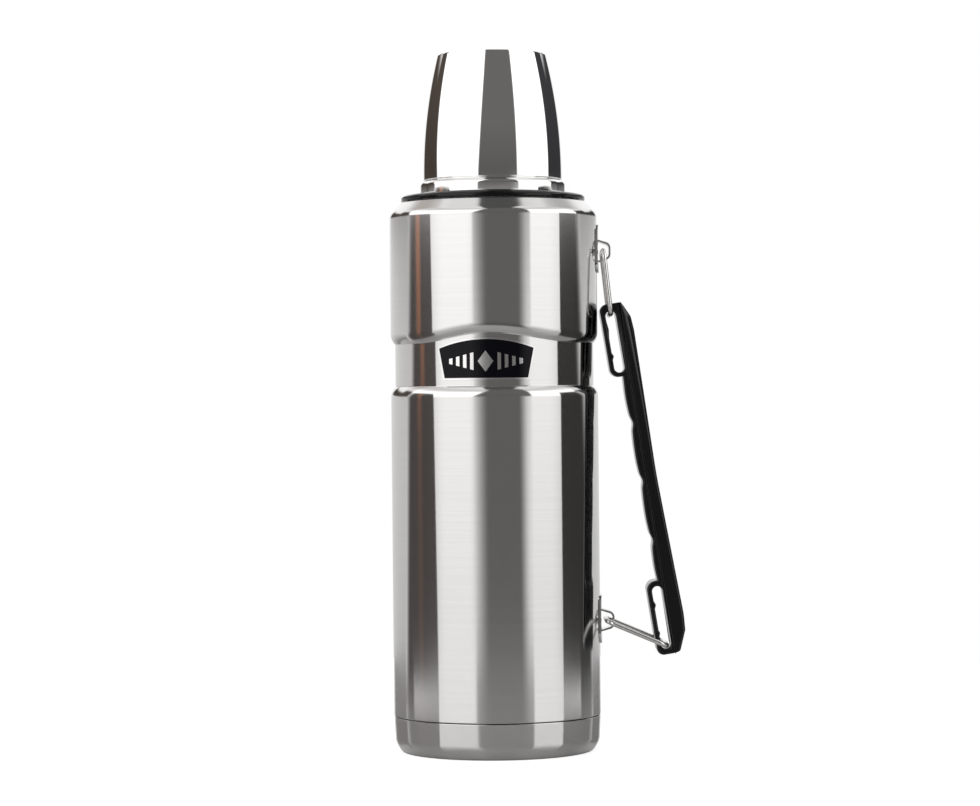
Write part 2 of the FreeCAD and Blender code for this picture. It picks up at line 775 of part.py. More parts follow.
def loop_edges(corners):
    """Edges of the open, rounded run through corners, the first and last of them unrounded."""
    before = (corners[0][0], corners[0][1] + 40)
    after = (corners[-1][0], corners[-1][1] + 40)
    wire = outline([before] + corners + [after], on_grip)
    first = on_grip(*corners[0][:2])
    last = on_grip(*corners[-1][:2])
    edges = []
    started = False
    for edge in wire.OrderedEdges:
        started = started or (edge.firstVertex(True).Point - first).Length < TINY
        if started:
            edges.append(edge)
        if started and (edge.lastVertex(True).Point - last).Length < TINY:
            break
    return edges


def make_grip_core():
    """Inner half of the grip, with the two slotted end loops and the finger edge."""
    upper = loop_edges([
        (GRIP_TOP, SPLIT_TOP),
        (GRIP_TOP, LOOP_EDGE, 3.0),
        (UPPER_LOOP_END, LOOP_EDGE, 4.0),
        (UPPER_LOOP_END, 0.9),
    ])
    lower = loop_edges([
        (LOWER_LOOP_END, 0.9),
        (LOWER_LOOP_END, LOOP_EDGE, 4.0),
        (GRIP_LOW, LOOP_EDGE, 3.0),
        (GRIP_LOW, SPLIT_LOW),
    ])
    joint = Part.LineSegment(on_grip(GRIP_LOW, SPLIT_LOW), on_grip(GRIP_TOP, SPLIT_TOP)).toShape()
    core = across(Part.Wire(upper + [finger_edge()] + lower + [joint]), CORE_HALF_WIDTH)
    bumps = []
    for u in SLOT_BUMPS:
        centre = on_grip(u, -SLOT_HALF - BUMP_R / 2) + FreeCAD.Vector(0, -CORE_HALF_WIDTH, 0)
        bumps.append(Part.makeCylinder(BUMP_R, 2 * CORE_HALF_WIDTH, centre, FreeCAD.Vector(0, 1, 0)))
    core = core.cut([slot_prism(UPPER_SLOT), slot_prism(LOWER_SLOT)]).fuse(bumps)
    bar = grip_bar(CORE_HALF_WIDTH, LOOP_EDGE, 8, CORE_ROUNDING, 0)
    return core.common(bar).common(grip_plan(CORE_HALF_WIDTH, WAIST_HALF_WIDTH - 0.6))


def make_grip_cover():
    """Outer half of the grip, with chamfered ends and rounded long edges."""
    corners = [
        (GRIP_TOP, SPLIT_TOP),
        (GRIP_TOP, 5.5, 0.5),
        (2.3, 8.8, 3.0),
        (8.5, 9.3, 6.0),
        (73.0, 8.3, 300.0),
        (136.0, GRIP_OUT, 30.0),
        (143.0, 9.4, 4.0),
        (GRIP_LOW, 5.3, 2.2),
        (GRIP_LOW, SPLIT_LOW),
    ]
    cover = across(outline(corners, on_grip), COVER_HALF_WIDTH)
    bar = grip_bar(COVER_HALF_WIDTH, 0, GRIP_OUT, 0, COVER_ROUNDING)
    return cover.common(bar).common(grip_plan(COVER_HALF_WIDTH, WAIST_HALF_WIDTH))


# ---- all pieces ----

def pieces():
    """Every piece of the flask, by the name of its file."""
    return {
        "outer_shell": make_outer_shell(),
        "inner_vessel": make_inner_vessel(),
        "copper_foil": make_copper_foil(),
        "closure_plate": make_closure_plate(),
        "vacuum_plug": make_vacuum_plug(),
        "getter_holder": make_getter_holder(),
        "getter_pill": make_getter_pill(),
        "base_cup": make_base_cup(),
        "collar_gasket": make_collar_gasket(),
        "neck_collar": make_neck_collar(),
        "badge_plate": make_badge_plate(),
        "badge_enamel": make_badge_enamel(),
        "cup_outer": make_cup_outer(),
        "cup_inner": make_cup_inner(),
        "cup_thread_ring": make_cup_thread_ring(),
        "cup_seal": make_cup_seal(),
        "stopper_body": make_stopper_body(),
        "stopper_foam": make_stopper_foam(),
        "stopper_cap": make_stopper_cap(),
        "stopper_seal": make_stopper_seal(),
        "stem_o_ring": make_stem_o_ring(),
        "plunger": make_plunger(),
        "plunger_seal": make_plunger_seal(),
        "stopper_knob": make_stopper_knob(),
        "knob_cap": make_knob_cap(),
        "upper_bracket": make_bracket(UPPER_PIVOT, UPPER_RISE),
        "lower_bracket": make_bracket(LOWER_PIVOT, LOWER_RISE),
        "upper_link": make_link(UPPER_PIVOT, UPPER_END),
        "lower_link": make_link(LOWER_PIVOT, LOWER_END),
        "grip_core": make_grip_core(),
        "grip_cover": make_grip_cover(),
    }


def main():
    os.makedirs("parts", exist_ok=True)
    for name, shape in pieces().items():
        solid_count = len(shape.Solids)
        volume = shape.Volume / 1000
        print(f"{name:16s} solids {solid_count} valid {shape.isValid()} volume {volume:.3f} cm3")
        shape.exportStep(f"parts/{name}.step")


main()
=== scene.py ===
"""Looks of the vacuum flask: its surfaces, detailed pieces, studio and camera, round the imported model."""
import json
from math import atan2, ceil, cos, hypot, pi, radians, sin, tan

import bmesh
import bpy
from mathutils import Matrix, Vector


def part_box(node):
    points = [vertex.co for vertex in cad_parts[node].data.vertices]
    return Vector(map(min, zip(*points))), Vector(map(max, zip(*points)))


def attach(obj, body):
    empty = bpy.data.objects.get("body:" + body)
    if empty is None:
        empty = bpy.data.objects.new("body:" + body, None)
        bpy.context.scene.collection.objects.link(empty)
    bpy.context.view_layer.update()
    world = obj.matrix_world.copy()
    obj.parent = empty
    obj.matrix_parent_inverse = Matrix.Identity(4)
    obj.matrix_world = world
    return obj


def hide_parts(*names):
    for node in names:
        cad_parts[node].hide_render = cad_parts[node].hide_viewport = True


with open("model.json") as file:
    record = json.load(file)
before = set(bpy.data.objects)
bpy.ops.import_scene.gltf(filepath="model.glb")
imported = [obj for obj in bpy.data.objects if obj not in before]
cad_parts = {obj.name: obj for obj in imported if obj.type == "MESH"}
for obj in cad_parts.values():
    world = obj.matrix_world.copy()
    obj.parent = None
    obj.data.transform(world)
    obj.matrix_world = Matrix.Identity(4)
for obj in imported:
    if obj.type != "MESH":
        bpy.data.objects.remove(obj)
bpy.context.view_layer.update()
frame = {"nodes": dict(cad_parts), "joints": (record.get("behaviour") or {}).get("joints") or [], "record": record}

MM = 0.001
JOINTS = {joint["name"]: joint for joint in frame["joints"]}

# Sizes read from the frame, in millimetres like all the sizes below
BODY_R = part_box("outer_shell")[1].y / MM
SHELL_LOW_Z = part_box("outer_shell")[0].z / MM
NECK_TOP_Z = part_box("outer_shell")[1].z / MM
SEAM_LOW_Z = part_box("base_cup")[1].z / MM
CUP_LOW_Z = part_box("cup_outer")[0].z / MM
CUP_TOP_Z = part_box("cup_outer")[1].z / MM
CUP_BEAD_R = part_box("cup_outer")[1].y / MM

# Body
WAIST_R = 44.0
SHELL_WALL = 0.6
TUCK_R = 44.6
WAIST_LOW_Z = 161.7
WAIST_HIGH_Z = 180.5
WAIST_EDGE_R = 6.4
WAIST_CORNER_R = 0.3
WAIST_STEP = BODY_R - WAIST_R
SHOULDER_Z = 238.0
SHOULDER_EDGE_R = 4.0
SHOULDER_TOP_R = 41.0
SHOULDER_TOP_Z = 243.25
NECK_OUT_R = 24.1
ARCH_AZIMUTH = -95.0
ARCH_RISE = 4.1
ARCH_REACH = (43.0, 57.0)      # how far it runs to the left and to the right, in degrees

# Handle
UPPER_HANG = 6.1
LOWER_DROP = 22.9
LINK_LENGTH = 28.3
LINK_HALF_WIDTH = 12.5
LINK_BEND_R = 3.6
WIRE_R = 1.1
SLOT_HALF = 2.3
UPPER_SLOT = (-1.5, 26.1)
LOWER_SLOT = (122.0, 150.2)
UPPER_BUMPS = ((6.6, 0.45, 3.8), (18.6, 0.75, 1.6))    # place, height and half length of each mould bump
LOWER_BUMPS = ((130.0, 0.75, 1.8), (142.6, 0.5, 1.3))
GRIP_TOP = -4.6
GRIP_LOW = 152.4
GRIP_OUT = 9.9
LOOP_EDGE = -4.4
UPPER_LOOP_END = 28.0
LOWER_LOOP_END = 119.5
SPLIT_TOP = 4.7
SPLIT_LOW = 2.8
FINGER_NOTCHES = (49.0, 75.0, 101.5)
FINGER_RIDGE = 0.5
FINGER_NOTCH = 1.8
NOTCH_REACH = 3.6              # from a notch's deepest place to the ridge beside it
RIDGE_REACH = 12.0             # from a notch to the start of the ridge above it
LOOP_NECK = 0.9                # where the end loops run into the finger edge
CORE_HALF_WIDTH = 9.6
COVER_HALF_WIDTH = 10.3
GRIP_NARROWING = 1.3
SPLIT_GAP = 0.05
COVER_EDGE_R = 0.35
COVER_ROUND_R = 4.8            # the cover's rounding at its top
COVER_ROUND_LOSS = 3.4         # how much of it is gone further down
COVER_ROUND_END = 75.0
COVER_END_INSET = 0.25
STATION_STEP = 2.5

# Fineness of the meshes
ROUND_STEPS = 256
SMOOTH_ANGLE = radians(38)
ARC_ANGLE = radians(9)
ARC_LENGTH = 2.4
ARC_MOST_STEPS = 24


# ---- outlines ----

def unit(a, b):
    """Direction from a to b."""
    length = hypot(b[0] - a[0], b[1] - a[1])
    return (b[0] - a[0]) / length, (b[1] - a[1]) / length


def corner_arc(before, corner, after):
    """Points of the arc that rounds a corner (a, b, radius)."""
    radius = corner[2] if len(corner) > 2 else 0
    if not radius:
        return [(corner[0], corner[1])]
    back = unit(corner, before)
    ahead = unit(corner, after)
    across = abs(back[0] * ahead[1] - back[1] * ahead[0])
    half = atan2(across, back[0] * ahead[0] + back[1] * ahead[1]) / 2
    reach = radius / tan(half)
    bisector = Vector((back[0] + ahead[0], back[1] + ahead[1])).normalized()
    centre = Vector(corner[:2]) + bisector * radius / sin(half)
    start = Vector(corner[:2]) + Vector(back) * reach - centre
    end = Vector(corner[:2]) + Vector(ahead) * reach - centre
    turn = start.angle_signed(end)
    steps = round(abs(turn) / ARC_ANGLE) + round(radius * abs(turn) / ARC_LENGTH)
    steps = max(2, min(ARC_MOST_STEPS, steps))
    points = []
    for i in range(steps + 1):
        angle = -turn * i / steps
        x = centre.x + start.x * cos(angle) - start.y * sin(angle)
        y = centre.y + start.x * sin(angle) + start.y * cos(angle)
        points.append((x, y))
    return points


def rounded(corners, closed=True):
    """Points of an outline through corners (a, b) or (a, b, rounding radius)."""
    count = len(corners)
    points = []
    for i, corner in enumerate(corners):
        if not closed and i in (0, count - 1):
            points.append(corner[:2])
        else:
            points += corner_arc(corners[i - 1], corner, corners[(i + 1) % count])
    return points


def parts_of(length, longest):
    """How many equal parts a run takes, so that none is over the longest."""
    return max(1, ceil(length / longest - 0.001))


def divided(points, longest=4.0, support=0.3):
    """The closed outline with no stretch over longest, and a short one at both ends of each long run."""
    made = []
    for i, a in enumerate(points):
        b = points[(i + 1) % len(points)]
        length = hypot(b[0] - a[0], b[1] - a[1])
        parts = parts_of(length, longest)
        shares = [k / parts for k in range(parts)]
        if length > 10 * support:
            shares = sorted(shares + [support / length, 1 - support / length])
        made += [(a[0] + (b[0] - a[0]) * share, a[1] + (b[1] - a[1]) * share) for share in shares]
    return made


# ---- mesh helpers ----

def finished(name, mesh, body, slot, node=None):
    """Object for a mesh in metres, riding on its body and standing for its CAD node."""
    mesh.polygons.foreach_set("use_smooth", [True] * len(mesh.polygons))
    mesh.set_sharp_from_angle(angle=SMOOTH_ANGLE)
    piece = bpy.data.objects.new(name, mesh)
    bpy.context.scene.collection.objects.link(piece)
    piece.data.materials.append(material_of(slot))
    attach(piece, body)
    if node:
        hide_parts(node)
    return piece


def mesh_from(name, build):
    """Mesh made by build(bmesh)."""
    bm = bmesh.new()
    build(bm)
    bmesh.ops.remove_doubles(bm, verts=bm.verts, dist=1e-7)
    bmesh.ops.recalc_face_normals(bm, faces=bm.faces)
    mesh = bpy.data.meshes.new(name)
    bm.to_mesh(mesh)
    bm.free()
    return mesh


def turned(name, points, place=None):
    """Mesh of a closed outline of (radius, height) turned about Z; place gives each vertex its height."""
    def build(bm):
        columns = []
        for step in range(ROUND_STEPS):
            angle = 2 * pi * step / ROUND_STEPS
            column = []
            for r, z in points:
                height = place(r, z, angle) if place else z
                column.append(bm.verts.new((r * cos(angle) * MM, r * sin(angle) * MM, height * MM)))
            columns.append(column)
        for step, column in enumerate(columns):
            following = columns[(step + 1) % ROUND_STEPS]
            for i in range(len(points)):
                k = (i + 1) % len(points)
                if points[i][0] < 1e-6 and points[k][0] < 1e-6:
                    continue
                corners = [column[i], following[i], following[k], column[k]]
                if points[i][0] < 1e-6:
                    corners.pop(1)
                elif points[k][0] < 1e-6:
                    corners.pop(2)
                bm.faces.new(corners)
    return mesh_from(name, build)


def lofted(name, rings):
    """Closed mesh through rings of the same number of points, in metres, with both ends capped."""
    def build(bm):
        rows = [[bm.verts.new(p) for p in ring] for ring in rings]
        count = len(rows[0])
        for low, high in zip(rows, rows[1:]):
            for i in range(count):
                k = (i + 1) % count
                bm.faces.new([low[i], low[k], high[k], high[i]])
        bm.faces.new(rows[0])
        bm.faces.new(rows[-1])
    return mesh_from(name, build)


# ---- materials ----

def feed(tree, target, value):
    """Gives an input a value, or another node's output."""
    if isinstance(value, bpy.types.NodeSocket):
        tree.links.new(value, target)
    else:
        target.default_value = value


def add(tree, kind, inputs=(), **settings):
    """Node of a kind, with settings, and inputs given as values or as other nodes' outputs."""
    node = tree.nodes.new(kind)
    for name, value in settings.items():
        setattr(node, name, value)
    for name, value in dict(inputs).items():
        feed(tree, node.inputs[name], value)
    return node


def new_material(name):
    """Empty material with its surface shader."""
    material = bpy.data.materials.new(name)
    material.use_nodes = True
    tree = material.node_tree
    tree.nodes.clear()
    shader = add(tree, "ShaderNodeBsdfPrincipled")
    add(tree, "ShaderNodeOutputMaterial", {"Surface": shader.outputs[0]})
    return material, tree, shader


def wire_up(tree, shader, **inputs):
    """Sets the shader's inputs, with underscores for spaces in their names."""
    for name, value in inputs.items():
        feed(tree, shader.inputs[name.replace("_", " ")], value)


def object_axes(tree):
    """X, Y and Z in the object's own space, in metres."""
    coordinate = add(tree, "ShaderNodeTexCoord")
    return add(tree, "ShaderNodeSeparateXYZ", {0: coordinate.outputs["Object"]}).outputs


def noise(tree, scale, detail=3.0, roughness=0.55):
    """Noise value in the object's own space, with a scale for each axis, in cells per metre."""
    coordinate = add(tree, "ShaderNodeTexCoord")
    place = coordinate.outputs["Object"]
    mapping = add(tree, "ShaderNodeMapping", {"Vector": place, "Scale": scale})
    made = add(tree, "ShaderNodeTexNoise", {
        "Vector": mapping.outputs[0], "Scale": 1.0, "Detail": detail, "Roughness": roughness,
    })
    return made.outputs["Fac"]


def ranged(tree, value, low, high, start=0.3, end=0.7):
    """The value's start to end range turned into low to high."""
    made = add(tree, "ShaderNodeMapRange", {0: value, 1: start, 2: end, 3: low, 4: high}, clamp=True)
    return made.outputs[0]


def blend_colour(tree, factor, a, b):
    """Colour a where the factor is 0, and b where it is 1."""
    return add(tree, "ShaderNodeMix", {0: factor, 6: a, 7: b}, data_type="RGBA").outputs[2]


def bump(tree, height, strength, distance):
    """Normal bumped by a height, over a distance in metres."""
    made = add(tree, "ShaderNodeBump", {"Height": height, "Strength": strength, "Distance": distance})
    return made.outputs[0]


def calculate(tree, operation, a, b=0.0):
    """Result of one sum."""
    return add(tree, "ShaderNodeMath", {0: a, 1: b}, operation=operation).outputs[0]


def soft_step(tree, value, edge, softness, rising):
    """0 to 1 across an edge, or 1 to 0."""
    low, high = (0.0, 1.0) if rising else (1.0, 0.0)
    made = add(tree, "ShaderNodeMapRange", {
        0: value, 1: edge - softness / 2, 2: edge + softness / 2, 3: low, 4: high,
    }, interpolation_type="SMOOTHSTEP")
    return made.outputs[0]


def between(tree, value, low, high, soft_low, soft_high):
    """1 between two edges, and 0 outside them."""
    above = soft_step(tree, value, low, soft_low, True)
    below = soft_step(tree, value, high, soft_high, False)
    return calculate(tree, "MULTIPLY", above, below)


def tone(level, warm=0.0):
    """Grey of a level, a little warmer or cooler."""
    return (level * (1 + warm), level, level * (1 - warm), 1.0)


def shade(colour, level):
    """The colour, brighter or darker."""
    return tuple(level * c for c in colour[:3]) + (1.0,)


# Painted shade: the seam between the shell and the base is coloured near-black in place of the shadow in the gap
SEAM_SHADE_INSET = 0.35         # the seam counts as dark this far in from the body's face
SEAM_SHADE_BELOW = 0.2
SEAM_SHADE_ABOVE = 0.6


def painted_seam_shade(tree):
    """Mask of painted shade: 1 inside the narrow seam between the shell and the base, where near-black colour
    stands in for the gap's shadow, and 0 on the faces.
    """
    x, y, z = object_axes(tree)
    flat = add(tree, "ShaderNodeCombineXYZ", {0: x, 1: y})
    radius = add(tree, "ShaderNodeVectorMath", {0: flat.outputs[0]}, operation="LENGTH").outputs["Value"]
    inside = soft_step(tree, radius, (BODY_R - SEAM_SHADE_INSET) * MM, 0.2 * MM, False)
    low = (SEAM_LOW_Z - SEAM_SHADE_BELOW) * MM
    high = (SEAM_LOW_Z + SEAM_SHADE_ABOVE) * MM
    return calculate(tree, "MULTIPLY", inside, between(tree, z, low, high, 0.1 * MM, 0.1 * MM))


def brushed_steel(name, level, roughness, warm=0.012):
    """Steel brushed round the axis: fine rings of scratches that smear reflections up and down, with painted shade
    darkening the seam above the base.
    """
    material, tree, shader = new_material(name)
    fine = noise(tree, (22, 22, 6500), 3.0, 0.6)
    medium = noise(tree, (12, 12, 1400), 3.0, 0.6)
    broad = noise(tree, (9, 9, 14), 2.0)
    dark = tone(level * 0.975, warm)
    light = tone(level * 1.02, warm)
    colour = blend_colour(tree, ranged(tree, medium, 0, 1), dark, light)
    colour = blend_colour(tree, ranged(tree, broad, 0, 0.5), colour, tone(level * 0.985, warm * 1.8))
    # painted shade: near-black colour in the seam, standing in for the gap's shadow
    colour = blend_colour(tree, painted_seam_shade(tree), colour, tone(0.012))
    tangent = add(tree, "ShaderNodeTangent", direction_type="RADIAL", axis="Z")
    wire_up(
        tree, shader, Base_Color=colour, Metallic=1.0,
        Roughness=ranged(tree, fine, roughness * 0.93, roughness * 1.07),
        Anisotropic=1.0, Anisotropic_Rotation=0.25, Tangent=tangent.outputs[0],
        Normal=bump(tree, fine, 0.05, 0.00001),
    )
    return material


def polished_steel(name, level, roughness):
    """Mirror-polished steel with faint polishing waves and smudges."""
    material, tree, shader = new_material(name)
    smudge = noise(tree, (55, 55, 40), 4.0, 0.6)
    waves = noise(tree, (30, 30, 18), 1.0)
    wire_up(
        tree, shader, Base_Color=tone(level, 0.008), Metallic=1.0,
        Roughness=ranged(tree, smudge, roughness, roughness * 2.4, 0.5, 0.75),
        Normal=bump(tree, waves, 0.05, 0.0004),
    )
    return material


def drawn_steel(name, level, roughness, grain, contrast=0.06):
    """Bright or dull drawn steel with a fine even grain."""
    material, tree, shader = new_material(name)
    fine = noise(tree, grain, 3.0)
    dark = tone(level * (1 - contrast), 0.015)
    light = tone(level * (1 + contrast), 0.015)
    wire_up(
        tree, shader, Base_Color=blend_colour(tree, fine, dark, light), Metallic=1.0,
        Roughness=ranged(tree, fine, roughness * 0.85, roughness * 1.2),
        Normal=bump(tree, fine, 0.05, 0.00001),
    )
    return material


def moulded(name, colour, roughness, texture, depth, shine=0.5):
    """Moulded plastic or rubber with a fine surface texture."""
    material, tree, shader = new_material(name)
    skin = noise(tree, (texture,) * 3, 3.0, 0.6)
    broad = noise(tree, (45, 45, 45), 2.0)
    lighter = tuple(min(1, c * 1.35 + 0.001) for c in colour[:3]) + (1.0,)
    wire_up(
        tree, shader, Base_Color=blend_colour(tree, ranged(tree, broad, 0, 1), colour, lighter),
        Roughness=ranged(tree, broad, roughness * 0.85, roughness * 1.2),
        Normal=bump(tree, skin, 0.1, depth), Specular_IOR_Level=shine,
    )
    return material


MAKERS = {
    "brushed_body": lambda n: brushed_steel(n, 0.66, 0.11),
    "polished_steel": lambda n: polished_steel(n, 0.80, 0.03),
    "plain_steel": lambda n: drawn_steel(n, 0.55, 0.34, (400, 400, 2500)),
    "wire_steel": lambda n: drawn_steel(n, 0.82, 0.22, (2600, 2600, 2600), 0.02),
    "gloss_black": lambda n: moulded(n, (0.004, 0.004, 0.0045, 1), 0.10, 2500, 0.00001, 0.28),
    "grip_black": lambda n: moulded(n, (0.005, 0.005, 0.0058, 1), 0.11, 3200, 0.00001, 0.42),
    "badge_steel": lambda n: drawn_steel(n, 0.76, 0.18, (1500, 1500, 300)),
    "badge_black": lambda n: moulded(n, (0.002, 0.002, 0.004, 1), 0.08, 2600, 0.00001, 0.14),
    "stopper_grey": lambda n: moulded(n, (0.055, 0.056, 0.060, 1), 0.42, 2400, 0.00008),
    "silicone": lambda n: moulded(n, (0.42, 0.43, 0.43, 1), 0.55, 1800, 0.00006),
    "foam": lambda n: moulded(n, (0.80, 0.78, 0.72, 1), 0.85, 900, 0.00040),
    "copper": lambda n: drawn_steel(n, 0.60, 0.25, (60, 60, 60)),
    "getter": lambda n: moulded(n, (0.07, 0.07, 0.075, 1), 0.70, 3000, 0.00015),
}
made_materials = {}


def material_of(slot):
    """The material of one of the record's slots, made once."""
    if slot not in made_materials:
        made_materials[slot] = MAKERS[slot](slot)
    return made_materials[slot]


# ---- studio ----

WHITE = (1.0, 1.0, 1.0)
BRIGHT = 1.30
ALL_ROUND = (-180, 180)
LEVEL = (0, 0)

# Lights and dark screens round the flask, as seen from it: azimuth from the camera's side (positive to
# the right) and height above level, in degrees, each from and to, then the softness of the left, right,
# lower and upper edges, brightness, colour, and how far the left and right edges lean for a degree of
# height. Later ones cover earlier ones.
PANELS = [
    (ALL_ROUND, (-180, -14), (0, 0, 10, 10), 0.62, (1.0, 0.985, 0.96), LEVEL),
    ((-70, 0), (-60, 60), (28, 2, 10, 10), BRIGHT, WHITE, LEVEL),
    ((0, 76), (-60, 60), (2, 28, 10, 10), 0.94 * BRIGHT, WHITE, LEVEL),
    ((-18.5, 33), (-60, 3.7), (24, 14, 0.6, 0.6), 0.165, (1.0, 0.98, 0.97), LEVEL),
    ((-161, -125), (3.7, 17), (6, 4, 0.6, 6), 0.058, (1.0, 0.80, 0.66), LEVEL),
    ((-130, -104), (3.7, 26), (4, 4, 0.6, 8), 0.058, (1.0, 0.80, 0.66), (0, -0.38)),
    ((125, 161), (3.7, 17), (4, 6, 0.6, 6), 0.036, (0.96, 0.96, 1.04), LEVEL),
    ((105.4, 130), (3.7, 26), (3, 4, 0.6, 8), 0.036, (0.96, 0.96, 1.04), (0.1, 0)),
    ((-103, -20), (3.7, 60), (4, 3, 0.6, 10), BRIGHT, WHITE, (-0.38, 0)),
    ((35, 105.4), (3.7, 60), (3, 3, 0.6, 10), BRIGHT, WHITE, (0, 0.1)),
    (ALL_ROUND, (36, 60), (0, 0, 20, 10), 0.56, WHITE, LEVEL),
    ((-25.2, 41.2), (3.7, 70), (3, 3, 0.6, 6), 0.11, (1.0, 0.97, 0.95), (0.32, 0)),
    ((-150, -122), (36, 54), (16, 12, 14, 14), 0.40, (1.0, 0.93, 0.88), LEVEL),
    ((118, 146), (36, 54), (12, 16, 14, 14), 0.40, WHITE, LEVEL),
    (ALL_ROUND, (60, 180), (0, 0, 12, 12), 0.68, WHITE, LEVEL),
]
# A dark strip passes right over the flask from front to back: its left and right edges, softness, level
OVERHEAD = (-0.14, 0.27, 0.05, 0.07)
OVERHEAD_FROM = 55
OVERHEAD_SOFT = 6
SURROUND = 0.80
GAIN_PER_DEGREE = 0.38 / 12       # the studio grows brighter upwards
GAIN_REACH = 16.0


def leaned(tree, azimuth, elevation, slope):
    """Azimuth at level height of the leaning line that passes through a direction."""
    return calculate(tree, "SUBTRACT", azimuth, calculate(tree, "MULTIPLY", elevation, slope))


def make_world():
    """Studio seen in reflections; the camera itself sees the plain white backdrop."""
    world = bpy.data.worlds.new("studio")
    bpy.context.scene.world = world
    world.use_nodes = True
    tree = world.node_tree
    tree.nodes.clear()
    coordinate = add(tree, "ShaderNodeTexCoord")
    axes = add(tree, "ShaderNodeSeparateXYZ", {0: coordinate.outputs["Generated"]})
    towards_camera = calculate(tree, "MULTIPLY", axes.outputs[1], -1.0)
    turn = calculate(tree, "ARCTAN2", axes.outputs[0], towards_camera)
    azimuth = calculate(tree, "MULTIPLY", turn, 180 / pi)
    rise = calculate(tree, "ARCSINE", axes.outputs[2])
    elevation = calculate(tree, "MULTIPLY", rise, 180 / pi)
    colour = tone(SURROUND)
    for (left, right), (low, high), softness, level, tint, lean in PANELS:
        mask = between(tree, elevation, low, high, softness[2], softness[3])
        if (left, right) != ALL_ROUND:
            for edge, soft, slope, rising in zip((left, right), softness, lean, (True, False)):
                place = leaned(tree, azimuth, elevation, slope)
                mask = calculate(tree, "MULTIPLY", mask, soft_step(tree, place, edge, soft, rising))
        colour = blend_colour(tree, mask, colour, shade(tint, level))
    left, right, soft, level = OVERHEAD
    high_up = soft_step(tree, elevation, OVERHEAD_FROM, OVERHEAD_SOFT, True)
    strip = between(tree, axes.outputs[0], left, right, soft, soft)
    colour = blend_colour(tree, calculate(tree, "MULTIPLY", high_up, strip), colour, tone(level))
    change = GAIN_PER_DEGREE * GAIN_REACH
    gain = ranged(tree, elevation, 1 - change, 1 + change, -GAIN_REACH, GAIN_REACH)
    studio = add(tree, "ShaderNodeBackground", {"Color": colour, "Strength": gain})
    backdrop = add(tree, "ShaderNodeBackground", {"Color": (1, 1, 1, 1), "Strength": 1.0})
    path = add(tree, "ShaderNodeLightPath")
    mix = add(tree, "ShaderNodeMixShader", {
        0: path.outputs["Is Camera Ray"], 1: studio.outputs[0], 2: backdrop.outputs[0],
    })
    add(tree, "ShaderNodeOutputWorld", {"Surface": mix.outputs[0]})


CAMERA_DISTANCE = 1.38
CAMERA_HEIGHT = 0.156
AIM = (-0.0021, 0.0, 0.1543)
LENS = 114.0
SENSOR = 36.0
ROLL = 0.54


def make_camera():
    """Camera in front of the flask, level with its middle and rolled a little."""
    data = bpy.data.cameras.new("camera")
    data.lens = LENS
    data.sensor_width = SENSOR
    camera = bpy.data.objects.new("camera", data)
    bpy.context.scene.collection.objects.link(camera)
    camera.location = (AIM[0], -CAMERA_DISTANCE, CAMERA_HEIGHT)
    way = (Vector(AIM) - camera.location).normalized()
    turn = way.to_track_quat("-Z", "Y").to_matrix() @ Matrix.Rotation(radians(-ROLL), 3, "Z")
    camera.rotation_euler = turn.to_euler()
    bpy.context.scene.camera = camera


def staged(name, corners, material):
    """Flat piece of the studio through corners in metres."""
    mesh = bpy.data.meshes.new(name)
    mesh.from_pydata(corners, [], [tuple(range(len(corners)))])
    mesh.materials.append(material)
    piece = bpy.data.objects.new(name, mesh)
    bpy.context.scene.collection.objects.link(piece)
    return piece


FLOOR_R = 0.50
FLOOR_STEPS = 96
FLOOR_GLOW = 0.06
FLOOR_EXTRA = 0.76        # what the camera sees on top, so that the floor runs into the white backdrop


def make_floor():
    """Pale round table top under the flask; its gloss shows only in reflections."""
    material, tree, shader = new_material("floor_white")
    grain = noise(tree, (140, 140, 140), 3.0)
    path = add(tree, "ShaderNodeLightPath")
    extra = calculate(tree, "MULTIPLY", path.outputs["Is Camera Ray"], FLOOR_EXTRA)
    matte = calculate(tree, "SUBTRACT", 1.0, path.outputs["Is Camera Ray"])
    pale = blend_colour(tree, grain, (0.46, 0.46, 0.458, 1), (0.48, 0.48, 0.478, 1))
    wire_up(
        tree, shader, Base_Color=pale,
        Roughness=0.08, Specular_IOR_Level=calculate(tree, "MULTIPLY", matte, 0.5),
        Emission_Color=(1, 1, 1, 1), Emission_Strength=calculate(tree, "ADD", extra, FLOOR_GLOW),
    )
    angles = [2 * pi * i / FLOOR_STEPS for i in range(FLOOR_STEPS)]
    staged("floor", [(FLOOR_R * cos(angle), FLOOR_R * sin(angle), 0) for angle in angles], material)


FLAG_X = 0.30
FLAG_LOW = 0.007
FLAG_TOP = 0.268
GLINT_COLOUR = (0.44, 0.20, 0.12, 1.0)
GLINT_HALF = 0.016
GLINT_SOFT = 0.022
GLINT_FADE = (0.13, 0.25)      # the heights between which the glint grows from faint to full
GLINT_FAINT = 0.12


